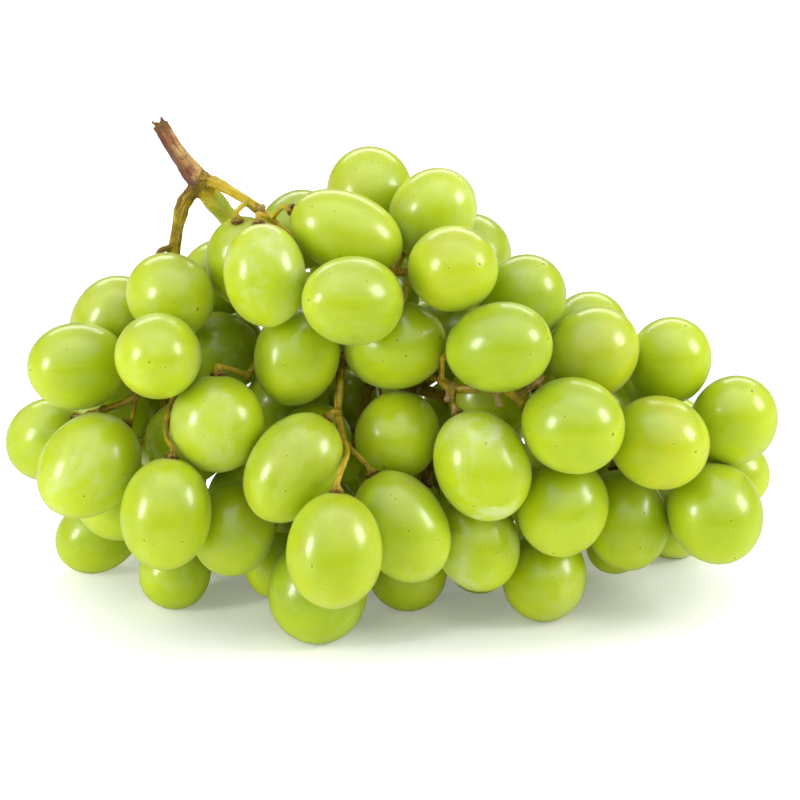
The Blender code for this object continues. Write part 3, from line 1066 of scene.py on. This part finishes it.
@dataclass
class Stem:
    """The branching stem: peduncle, rachis, shoots, pedicels with their crowns, and broken stubs."""

    finish: Material
    stub_radius: float = 0.75 * MM
    pedicel_radius: float = 0.68 * MM
    pedicel_flare: float = 0.85
    pedicel_steps: int = 7
    knee_reach: float = 7.0 * MM
    stem_gap: float = 0.6 * MM
    easing_passes: int = 40
    easing_reach: float = 17.0 * MM
    swelling: float = 0.32
    swelling_reach: float = 2.0 * MM
    joint_start: float = 9.0 * MM
    joint_step: float = 11.0 * MM
    joint_width: float = 1.3 * MM
    joint_height: float = 0.16
    crease_at: float = 3.0 * MM
    crease_width: float = 1.0 * MM
    crease_depth: float = 0.08
    knuckle_at: float = 4.6 * MM
    knuckle_width: float = 1.1 * MM
    knuckle_height: float = 0.20
    cut_flare: float = 0.16
    cut_ripple: float = 0.05
    cut_ripple_pace: float = 1.9 * MM
    cut_dry_reach: float = 2.2 * MM
    cut_dark_reach: float = 1.6 * MM
    collar_tone_reach: float = 3.2 * MM
    fibre_root: float = 0.75 * MM
    fibre_tip: float = 0.12 * MM
    voxel: float = 0.30 * MM
    most_faces: int = 70000
    bark_grain: float = 1.9 * MM
    bark_height: float = 0.16 * MM
    wart_grain: float = 0.85 * MM
    wart_height: float = 0.46 * MM
    least_wart: float = 0.05

    def shoots(self) -> dict[str, list[Vector]]:
        """Each shoot's smooth path in the frame."""
        return {name: smooth_path(framed(points)) for name, (points, *_) in SHOOTS.items()}

    def build(self, berries: Sequence[Berry]) -> Object:
        """Makes the whole stem as one grown piece.

        Args:
            berries: Every berry that hangs on it.

        Returns:
            The stem, riding on the bunch.
        """
        shoots = self.shoots()
        chance = np.random.default_rng(SEED)
        runs = [self._shoot_run(name, path, chance) for name, path in shoots.items()]
        runs += [self._stub_run(points) for points in STUBS]
        runs += [self._pedicel_run(berry, berries, shoots, chance) for berry in berries]
        stem = self._tubes(runs)
        self._splinter(stem, runs[0])
        self._fuse(stem)
        self._mark(stem, runs)
        self._roughen(stem)
        stem.data.materials.clear()
        stem.data.materials.append(self.finish)
        stem.data.shade_smooth()
        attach(stem, ROOT_BODY)
        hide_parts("stem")
        return stem

    def _shoot_run(self, name: str, path: list[Vector], chance: np.random.Generator) -> Run:
        """A shoot that swells where it leaves its parent and at its joints.

        Args:
            name: The shoot's name.
            path: Its smooth path.
            chance: The stem's random draws.

        Returns:
            The shoot's run.
        """
        _, first, last, start_tone, end_tone = SHOOTS[name]
        walked = distances(path)
        joints = (np.arange(self.joint_start, walked[-1], self.joint_step)
                  + chance.uniform(-2.0, 2.0) * MM)
        fork = framed(SHOOTS["peduncle"][0])[-1]
        radii, tones = [], []
        for distance, place in zip(walked, path):
            share = distance / walked[-1]
            radius = (first + (last - first) * share) * MM
            fresh = start_tone.value + (end_tone.value - start_tone.value) * share
            bulge = sum(hump(distance - joint, self.joint_width) for joint in joints)
            if name == "peduncle":
                dark = hump(distance, self.cut_dark_reach)
                radius *= (1.0 + self.cut_flare * math.exp(-distance / MM)
                           + self.cut_ripple * math.sin(distance / self.cut_ripple_pace))
                fresh -= 0.25 * hump(distance, self.cut_dry_reach)
            else:
                dark = hump(distance - self.crease_at, self.crease_width)
                radius *= (1.0 + self.swelling * math.exp(-distance / self.swelling_reach)
                           + self.joint_height * bulge)
                fresh += (Tone.FAWN.value - fresh) * hump((place - fork).length, self.collar_tone_reach)
            if name in ("upper_arm", "left_arm"):
                radius *= (1.0 - self.crease_depth * dark
                           + self.knuckle_height * hump(distance - self.knuckle_at, self.knuckle_width))
            radii.append(radius * chance.uniform(0.97, 1.04))
            tones.append((fresh, max(0.35 * min(1.0, bulge), 0.9 * dark), 0.0))
        return Run(path, radii, tones)

    def _stub_run(self, points: list[Place]) -> Run:
        """A broken pedicel that flares at its foot and at its raw end.

        Args:
            points: Its path, in millimetres.

        Returns:
            The stub's run.
        """
        path = smooth_path(framed(points), 4)
        last = len(path) - 1
        radii = [self.stub_radius * (1.5 - 0.5 * min(1.0, 3.0 * i / last)) for i in range(last)]
        tones = [(Tone.BROWN.value, 0.3 * i / last, 0.0) for i in range(last)]
        return Run(path, [*radii, self.stub_radius * 1.35], [*tones, (0.1, 0.2, 0.9)])

    def _pedicel_run(self, berry: Berry, berries: Sequence[Berry], shoots: dict[str, list[Vector]],
                     chance: np.random.Generator) -> Run:
        """A pedicel from the nearest shoot to its berry, bent clear of the others, with its crown.

        Args:
            berry: The berry that it carries.
            berries: Every berry.
            shoots: The shoots' paths.
            chance: The stem's random draws.

        Returns:
            The pedicel's run.
        """
        pole, out = berry.pole(), berry.stem_end
        aim = pole + out * self.knee_reach
        feet = {name: nearest_on_path(path, aim) for name, path in shoots.items() if name != "peduncle"}
        name = min(feet, key=lambda shoot: (feet[shoot] - aim).length)
        start = feet[name]
        knee = pole + out * min((start - pole).length * 0.45, self.knee_reach)
        steps = [start.lerp(knee, step / self.pedicel_steps) for step in range(self.pedicel_steps)]
        path = self._eased([*steps, knee.lerp(pole, 0.3), pole + out * 2.6 * MM], berries)
        path = smooth_path(path, 3)
        fresh = (SHOOTS[name][3].value + SHOOTS[name][4].value) / 2 + chance.uniform(-0.1, 0.1)
        slim = self.pedicel_radius * chance.uniform(0.9, 1.08)
        near = [math.exp(-(spot - start).length / self.joint_width) for spot in path]
        radii = [slim * (1.0 + self.pedicel_flare * share) for share in near]
        tones = [(fresh, 0.35 * share, 0.0) for share in near]
        for offset, radius, dark in CROWN:
            path.append(pole + out * offset * MM)
            radii.append(radius * MM * (slim / self.pedicel_radius))
            tones.append((fresh * 0.85, dark, 0.0))
        return Run(path, radii, tones)

    def _eased(self, path: list[Vector], berries: Sequence[Berry]) -> list[Vector]:
        """Draws a path smooth and pushes it clear of the berries in turn, both ends held.

        Args:
            path: Points from the shoot to just short of the berry.
            berries: Every berry.

        Returns:
            The same points, moved.
        """
        middle = (path[0] + path[-1]) / 2
        reach = (path[0] - path[-1]).length / 2 + self.easing_reach
        close = [berry for berry in berries if (berry.centre - middle).length < reach]
        gap = self.pedicel_radius + self.stem_gap
        for _ in range(self.easing_passes):
            for index in range(1, len(path) - 1):
                spot = (path[index - 1] + path[index] * 2.0 + path[index + 1]) / 4
                for berry in close:
                    depth = berry.depth_inside(spot) + gap
                    if depth > 0:
                        spot += (spot - berry.centre).normalized() * depth
                path[index] = spot
        return path

    def _tubes(self, runs: Sequence[Run]) -> Object:
        """The runs as tubes of one mesh that still pass through each other.

        Args:
            runs: Every run of the stem.

        Returns:
            The mesh object.
        """
        curve = bpy.data.curves.new("stem_runs", "CURVE")
        curve.dimensions = "3D"
        curve.bevel_depth = MM
        curve.bevel_resolution = 5
        curve.use_fill_caps = True
        for run in runs:
            spline = curve.splines.new("POLY")
            spline.points.add(len(run.path) - 1)
            for point, place, radius in zip(spline.points, run.path, run.radii):
                point.co = (*place, 1.0)
                point.radius = radius / MM
        make_active(link_object("grape_stem", curve))
        bpy.ops.object.convert(target="MESH")
        return bpy.context.active_object

    def _splinter(self, stem: Object, peduncle: Run) -> None:
        """Adds the torn fibres at the end of the peduncle.

        Args:
            stem: The mesh that they join.
            peduncle: The run that starts at the tear.
        """
        tip, along = peduncle.path[0], (peduncle.path[0] - peduncle.path[1]).normalized()
        side = along.orthogonal().normalized()
        made = []
        for turn, length, lean in FIBRES:
            outward = Matrix.Rotation(turn, 3, along) @ side
            deselect_all()
            bpy.ops.mesh.primitive_cone_add(vertices=8, radius1=self.fibre_root,
                                            radius2=self.fibre_tip, depth=length * MM)
            fibre = bpy.context.active_object
            bpy.ops.object.mode_set(mode="EDIT")
            bpy.ops.mesh.select_all(action="SELECT")
            bpy.ops.mesh.subdivide(number_cuts=2)
            bpy.ops.object.mode_set(mode="OBJECT")
            facing = (along + outward * lean).normalized().to_track_quat("Z", "Y").to_matrix().to_4x4()
            middle = tip + outward * FIBRE_RING * MM + along * (length * 0.28 * MM)
            fibre.data.transform(Matrix.Translation(middle) @ facing)
            made.append(fibre)
        make_active(stem)
        for fibre in made:
            fibre.select_set(True)
        bpy.ops.object.join()

    def _fuse(self, stem: Object) -> None:
        """Grows the runs together and thins the mesh where it is flat."""
        add_modifier(stem, "fuse", "REMESH", mode="VOXEL", voxel_size=self.voxel)
        add_modifier(stem, "soften", "SMOOTH", factor=0.5, iterations=2)
        apply_modifiers(stem)
        if len(stem.data.polygons) > self.most_faces:
            add_modifier(stem, "thin", "DECIMATE", ratio=self.most_faces / len(stem.data.polygons))
            apply_modifiers(stem)

    def _mark(self, stem: Object, runs: Sequence[Run]) -> None:
        """Stores grain and tone at each vertex, read from the nearest place of the nearest run.

        Args:
            stem: The fused mesh.
            runs: The runs that it was made from.
        """
        places, frames, tones, lengths, radii = [], [], [], [], []
        for run in runs:
            side = (run.path[1] - run.path[0]).orthogonal().normalized()
            for before, after in zip([run.path[0], *run.path], [*run.path[1:], run.path[-1]]):
                ahead = (after - before).normalized()
                side = (side - ahead * side.dot(ahead)).normalized()
                frames.append((side, ahead.cross(side), ahead))
            places += run.path
            tones += run.tones
            lengths += distances(run.path)
            radii += run.radii
        tree = point_tree(places)
        grain, tone = [], []
        for vertex in stem.data.vertices:
            near = tree.find_n(vertex.co, 4)
            index = min(near, key=lambda found: found[2] - radii[found[1]])[1]
            side, other, ahead = frames[index]
            offset = vertex.co - places[index]
            flat = Vector((offset.dot(side), offset.dot(other), 0.0)).normalized()
            grain.append((flat.x, flat.y, (lengths[index] + offset.dot(ahead)) / MM))
            weights = [1.0 / max(found[2], 1e-5) for found in near]
            mixed = sum((Vector(tones[found[1]]) * weight for found, weight in zip(near, weights)), Vector())
            tone.append(tuple(mixed / sum(weights)))
        fill_attribute(stem.data, BARK_GRAIN, np.array(grain))
        fill_attribute(stem.data, BARK_TONE, np.array(tone))
        group = stem.vertex_groups.new(name="warts")
        for index, (_, crown, _) in enumerate(tone):
            if crown > self.least_wart:
                group.add([index], min(1.0, crown), "REPLACE")

    def _roughen(self, stem: Object) -> None:
        """Raises the bark all over and the warts round each crown."""
        for name, grain, height, group in (("bark", self.bark_grain, self.bark_height, ""),
                                           ("warts", self.wart_grain, self.wart_height, "warts")):
            pattern = bpy.data.textures.new(name, "CLOUDS")
            pattern.noise_scale = grain
            pattern.noise_depth = 2
            add_modifier(stem, name, "DISPLACE", texture=pattern, texture_coords="LOCAL",
                         strength=height * 2.0, mid_level=0.5, vertex_group=group)
        apply_modifiers(stem)


@dataclass(frozen=True)
class Softbox:
    """A rectangular light: its place and size in metres and its power in watts."""

    name: str
    place: Place
    size: Span
    power: float

    def build(self, aim: Vector) -> None:
        """Hangs the light so that it faces the aim."""
        lamp = bpy.data.lights.new(self.name, "AREA")
        lamp.shape = "RECTANGLE"
        lamp.size, lamp.size_y = self.size
        lamp.energy = self.power
        light = link_object(self.name, lamp)
        light.location = self.place
        light.rotation_euler = (aim - light.location).to_track_quat("-Z", "Y").to_euler()


@dataclass
class Studio:
    """White table, soft lights and the camera."""

    aim: Place = (2.8 * MM, -3.6 * MM, 54.1 * MM)
    distance: float = 900.0 * MM
    elevation: float = 20.0
    lens: float = 165.3
    sensor: float = 36.0
    table_side: float = 8.0
    table_depth: float = 0.05
    table_dull: Colour = (0.90, 0.90, 0.92)
    table_white: Colour = (0.93, 0.93, 0.95)
    # Grey that the skin mirrors in the table's place: a painted darker reflection.
    painted_reflection_grey: Colour = (0.36, 0.36, 0.37)
    # The glow fields paint light on the table; its lower level near the bunch paints a soft shadow there.
    glow_colour: Colour = (0.93, 0.94, 1.0)
    glow: float = 0.55
    glow_middle: float = 0.38
    painted_shadow_glow: float = 0.17
    shade_middle: Place = (12.0 * MM, 10.0 * MM, 0.0)
    shade_reach: Place = (105.0 * MM, 62.0 * MM, 1.0)
    sky: float = 0.88
    sky_front: float = 0.56
    sky_gloss: float = 1.45
    softboxes: tuple[Softbox, ...] = (
        Softbox("left_strip", (-0.75, -0.38, 0.32), (0.16, 0.32), 3.0),
        Softbox("right_box", (0.83, -0.17, 0.49), (0.32, 0.38), 3.8),
        Softbox("overhead", (0.0, -0.05, 0.95), (0.90, 0.50), 1.1),
        Softbox("back_strip", (0.0, 0.86, 0.60), (1.30, 0.22), 3.2))

    def build(self) -> None:
        """Sets up the table, the lights and the camera."""
        self._table()
        self._sky()
        for softbox in self.softboxes:
            softbox.build(Vector(self.aim))
        self._camera()

    def _table(self) -> None:
        """A matt white slab under the bunch."""
        deselect_all()
        bpy.ops.mesh.primitive_plane_add(size=self.table_side)
        table = bpy.context.active_object
        table.name = "studio_table"
        bpy.ops.object.mode_set(mode="EDIT")
        bpy.ops.mesh.select_all(action="SELECT")
        bpy.ops.mesh.extrude_region_move(TRANSFORM_OT_translate={"value": (0.0, 0.0, -self.table_depth)})
        bpy.ops.mesh.select_all(action="SELECT")
        bpy.ops.mesh.normals_make_consistent(inside=False)
        bpy.ops.object.mode_set(mode="OBJECT")
        table.data.materials.append(self._table_finish())
        table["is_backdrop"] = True

    def _table_finish(self) -> Material:
        """Matt white with painted light: it glows away from the bunch, less in a ring round it, which paints
        a soft shadow under the bunch, and skin mirrors it in a painted darker grey.

        Returns:
            The table's material.
        """
        material, shader, surface = new_material("matt_white_table")
        place = shader.place("Object")
        glossy = shader.read(shader.add("LightPath"), "Is Glossy Ray")
        cloudy = place.noise(6.0, 3.0).span(0.3, 0.7)
        white = shader.mix(cloudy, self.table_dull, self.table_white)
        ring = shader.vector("DIVIDE", shader.vector("SUBTRACT", place, self.shade_middle), self.shade_reach)
        # Painted light and painted shadow: the glow is low in a ring under the bunch and rises away from it.
        near = shader.vector("LENGTH", ring).span(0.55, 0.98, self.painted_shadow_glow, self.glow_middle)
        far = shader.vector("LENGTH", place).span(0.14, 0.60, 0.0, self.glow - self.glow_middle)
        away = (near + far) * (1.0 - glossy)
        shader.fill(surface, {
            # Painted reflection: rays that mirror off the skin see the table darker grey and without its
            # glow.
            "Base Color": shader.mix(glossy, white, self.painted_reflection_grey),
            "Roughness": place.noise(60.0).span(0.3, 0.7, 0.55, 0.65),
            "Specular IOR Level": 0.15, "Emission Strength": 1.0,
            "Emission Color": shader.mix(away, (0.0, 0.0, 0.0), self.glow_colour)})
        return material

    def _sky(self) -> None:
        """White light from all round, dimmer in front, with its own soft canopy for reflections."""
        world = bpy.data.worlds.new("white_studio")
        bpy.context.scene.world = world
        world.use_nodes = True
        shader = Shader(world.node_tree)
        _, across, upward = shader.place("Generated").parts()
        ray = shader.add("LightPath")
        glossy, camera = shader.read(ray, "Is Glossy Ray"), shader.read(ray, "Is Camera Ray")
        lit = across.span(-0.7, 0.3, self.sky_front, self.sky)
        canopy = upward.span(0.15, 0.85, 0.05, self.sky_gloss) * across.span(0.60, -0.10, 0.30, 1.0)
        strength = shader.math("MAXIMUM", lit * (1.0 - glossy) + canopy * glossy, camera)
        shader.fill(world.node_tree.nodes["Background"], {"Color": (1.0, 1.0, 1.0), "Strength": strength})

    def _camera(self) -> None:
        """Looks along +Y and down, at the middle of the bunch."""
        lens = bpy.data.cameras.new("camera")
        lens.lens, lens.sensor_width = self.lens, self.sensor
        lens.clip_start, lens.clip_end = 0.01, 20.0
        camera = link_object("camera", lens)
        tilt = math.radians(self.elevation)
        back = Vector((0.0, -math.cos(tilt), math.sin(tilt)))
        camera.location = Vector(self.aim) + back * self.distance
        camera.rotation_euler = (-back).to_track_quat("-Z", "Y").to_euler()
        bpy.context.scene.camera = camera
        bpy.context.scene.view_settings.view_transform = "Standard"


def main() -> None:
    """Builds the bunch around the frame, then the studio."""
    logging.basicConfig(level=logging.INFO, format="%(name)s: %(message)s", stream=sys.stdout)
    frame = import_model()
    effects = Effects()
    reader = BunchReader(frame["nodes"])
    berries = reader.berries()
    hearts = reader.hearts(berries)
    everything = [*berries, *hearts]
    stem = Stem(BarkFinish().build(effects))
    grapes = Grapes(GrapeForm(), GrapeSkinFinish().build(effects), traits=BERRY_TRAITS_AND_PAINTED_LIGHT)
    for piece in [stem.build(everything), *grapes.build(everything)]:
        LOG.info("%s: %d faces", piece.name, len(piece.data.polygons))
    LOG.info("%d berries read from the frame, %d more in the heart", len(berries), len(hearts))
    Studio().build()


if __name__ == "__main__":
    main()
